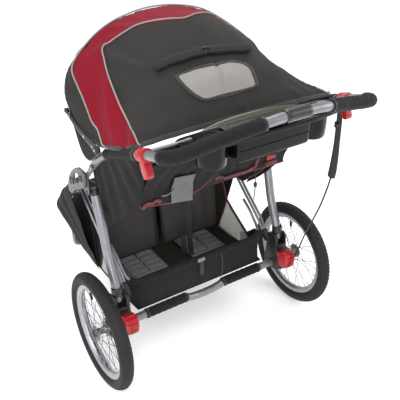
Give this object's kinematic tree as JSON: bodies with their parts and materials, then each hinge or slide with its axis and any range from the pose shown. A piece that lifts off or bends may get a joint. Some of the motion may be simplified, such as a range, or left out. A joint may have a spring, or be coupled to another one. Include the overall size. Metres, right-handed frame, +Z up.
{
  "type": "jogging stroller",
  "caption": "Side-by-side jogging stroller: folding tube frame, spoked wheels, reclining seats, wide canopy, parent tray and basket.",
  "frame": {"origin": "middle of the stroller on the ground, under its bounding box's centre", "axes": "-Y is forward (travel direction), +X is the stroller's left, +Z is up"},
  "size_m": [0.862, 1.2029, 1.14],
  "materials": {
    "tube": "satin",
    "steel": "satin",
    "black_plastic": "satin",
    "grey_plastic": "satin",
    "smoke_plastic": "gloss",
    "red_plastic": "satin",
    "foam": "matte",
    "tyre": "matte",
    "rim": "polished",
    "fabric_black": "matte",
    "fabric_canopy": "matte",
    "fabric_red": "matte",
    "piping": "satin",
    "mesh": "satin",
    "webbing": "matte",
    "footplate": "satin"
  },
  "bodies": {
    "front_frame": {"front_frame": "tube", "seat_rail": "tube", "footrest_frame": "tube", "footplate_left": "footplate", "footplate_right": "footplate", "footwell": "fabric_black", "side_bracket_left": "grey_plastic", "side_bracket_right": "grey_plastic", "hinge_pin_left": "steel", "hinge_pin_right": "steel", "seat_bottom_left": "fabric_black", "seat_bottom_right": "fabric_black", "seat_side_left": "fabric_black", "seat_side_right": "fabric_black"},
    "handle_frame": {"handle_tube": "tube", "grip_left": "foam", "grip_right": "foam", "grip_centre_sleeve": "black_plastic", "hinge_plate_left": "steel", "hinge_plate_right": "steel", "parent_tray": "smoke_plastic", "canopy_rear": "fabric_canopy", "safety_tether": "webbing"},
    "rear_frame": {"rear_axle_tube": "tube", "axle_bracket_left": "black_plastic", "axle_bracket_right": "black_plastic", "rear_axle_pin_left": "steel", "rear_axle_pin_right": "steel", "fold_link_left": "tube", "fold_link_right": "tube", "basket": "fabric_black", "basket_hoop": "tube"},
    "rear_legs": {"rear_leg_left": "tube", "rear_leg_right": "tube"},
    "canopy_front": {"canopy_front": "fabric_canopy", "canopy_bow_left": "black_plastic", "canopy_bow_right": "black_plastic"},
    "tray_lid": {"tray_lid": "smoke_plastic"},
    "fork": {"front_fork": "black_plastic", "front_axle": "steel"},
    "front_wheel": {"front_tyre": "tyre", "front_rim": "rim", "front_hub": "rim"},
    "swivel_lock": {"swivel_lock_lever": "red_plastic"},
    "quick_release": {"front_quick_release": "steel"},
    "wheel_left": {"rear_left_tyre": "tyre", "rear_left_rim": "rim", "rear_left_hub": "rim"},
    "brake_pedal_left": {"brake_pedal_left": "red_plastic"},
    "brake_pin_left": {"brake_pin_left": "steel"},
    "fold_latch_left": {"fold_latch_left": "red_plastic"},
    "seat_back_left": {"seat_back_left": "fabric_black"},
    "wheel_right": {"rear_right_tyre": "tyre", "rear_right_rim": "rim", "rear_right_hub": "rim"},
    "brake_pedal_right": {"brake_pedal_right": "red_plastic"},
    "brake_pin_right": {"brake_pin_right": "steel"},
    "fold_latch_right": {"fold_latch_right": "red_plastic"},
    "seat_back_right": {"seat_back_right": "fabric_black"}
  },
  "joints": [
    {"name": "handle_fold", "type": "hinge", "parent": "front_frame", "child": "handle_frame", "pos_m": [0, 0.0603, 0.69], "axis": [1, 0, 0], "range_deg": [0, 145], "deforming": ["canopy_rear", "canopy_front", "safety_tether"]},
    {"name": "rear_frame_fold", "type": "hinge", "parent": "front_frame", "child": "rear_frame", "pos_m": [0, -0.1297, 0.552], "axis": [1, 0, 0], "range_deg": [0, 18.71]},
    {"name": "rear_leg_fold", "type": "hinge", "parent": "rear_frame", "child": "rear_legs", "pos_m": [0, 0.1833, 0.3], "axis": [1, 0, 0], "range_deg": [-7.73, 0]},
    {"name": "wheel_left_spin", "type": "hinge", "parent": "rear_frame", "child": "wheel_left", "pos_m": [0.4, 0.1903, 0.2], "axis": [1, 0, 0], "continuous": true},
    {"name": "wheel_right_spin", "type": "hinge", "parent": "rear_frame", "child": "wheel_right", "pos_m": [-0.4, 0.1903, 0.2], "axis": [1, 0, 0], "continuous": true},
    {"name": "front_swivel", "type": "hinge", "parent": "front_frame", "child": "fork", "pos_m": [0, -0.4947, 0.32], "axis": [0, 0, 1], "continuous": true},
    {"name": "front_wheel_spin", "type": "hinge", "parent": "fork", "child": "front_wheel", "pos_m": [0, -0.4497, 0.152], "axis": [1, 0, 0], "continuous": true},
    {"name": "swivel_lock", "type": "hinge", "parent": "fork", "child": "swivel_lock", "pos_m": [0, -0.5187, 0.318], "axis": [-1, 0, 0], "range_deg": [0, 35]},
    {"name": "front_quick_release", "type": "hinge", "parent": "fork", "child": "quick_release", "pos_m": [0.057, -0.4497, 0.152], "axis": [0, 1, 0], "range_deg": [0, 150]},
    {"name": "canopy_fold", "type": "hinge", "parent": "handle_frame", "child": "canopy_front", "pos_m": [0, 0.1903, 0.84], "axis": [-1, 0, 0], "range_deg": [0, 55]},
    {"name": "tray_lid", "type": "hinge", "parent": "handle_frame", "child": "tray_lid", "pos_m": [0, 0.4163, 0.9366], "axis": [1, 0, 0], "range_deg": [0, 95]},
    {"name": "seat_recline_left", "type": "hinge", "parent": "front_frame", "child": "seat_back_left", "pos_m": [0.139, 0.0403, 0.515], "axis": [1, 0, 0], "range_deg": [-12, 25]},
    {"name": "brake_left", "type": "hinge", "parent": "rear_frame", "child": "brake_pedal_left", "pos_m": [0.321, 0.2103, 0.221], "axis": [-1, 0, 0], "range_deg": [0, 14]},
    {"name": "brake_pin_left", "type": "slide", "parent": "rear_frame", "child": "brake_pin_left", "axis": [1, 0, 0], "range_m": [0, 0.0065]},
    {"name": "fold_latch_left", "type": "slide", "parent": "handle_frame", "child": "fold_latch_left", "axis": [0, 0.9397, 0.342], "range_m": [0, 0.012], "stiffness_N_per_m": 400, "springref_m": -0.004},
    {"name": "seat_recline_right", "type": "hinge", "parent": "front_frame", "child": "seat_back_right", "pos_m": [-0.139, 0.0403, 0.515], "axis": [1, 0, 0], "range_deg": [-12, 25]},
    {"name": "brake_right", "type": "hinge", "parent": "rear_frame", "child": "brake_pedal_right", "pos_m": [-0.321, 0.2103, 0.221], "axis": [-1, 0, 0], "range_deg": [0, 14]},
    {"name": "brake_pin_right", "type": "slide", "parent": "rear_frame", "child": "brake_pin_right", "axis": [-1, 0, 0], "range_m": [0, 0.0065]},
    {"name": "fold_latch_right", "type": "slide", "parent": "handle_frame", "child": "fold_latch_right", "axis": [0, 0.9397, 0.342], "range_m": [0, 0.012], "stiffness_N_per_m": 400, "springref_m": -0.004}
  ],
  "couplings": [
    {"joint": "rear_frame_fold", "follows": "handle_fold", "ratio": 0.1287},
    {"joint": "rear_leg_fold", "follows": "handle_fold", "ratio": -0.053},
    {"joint": "brake_pin_left", "follows": "brake_left", "m_per_rad": 0.02456},
    {"joint": "brake_pin_right", "follows": "brake_right", "m_per_rad": 0.02456}
  ]
}
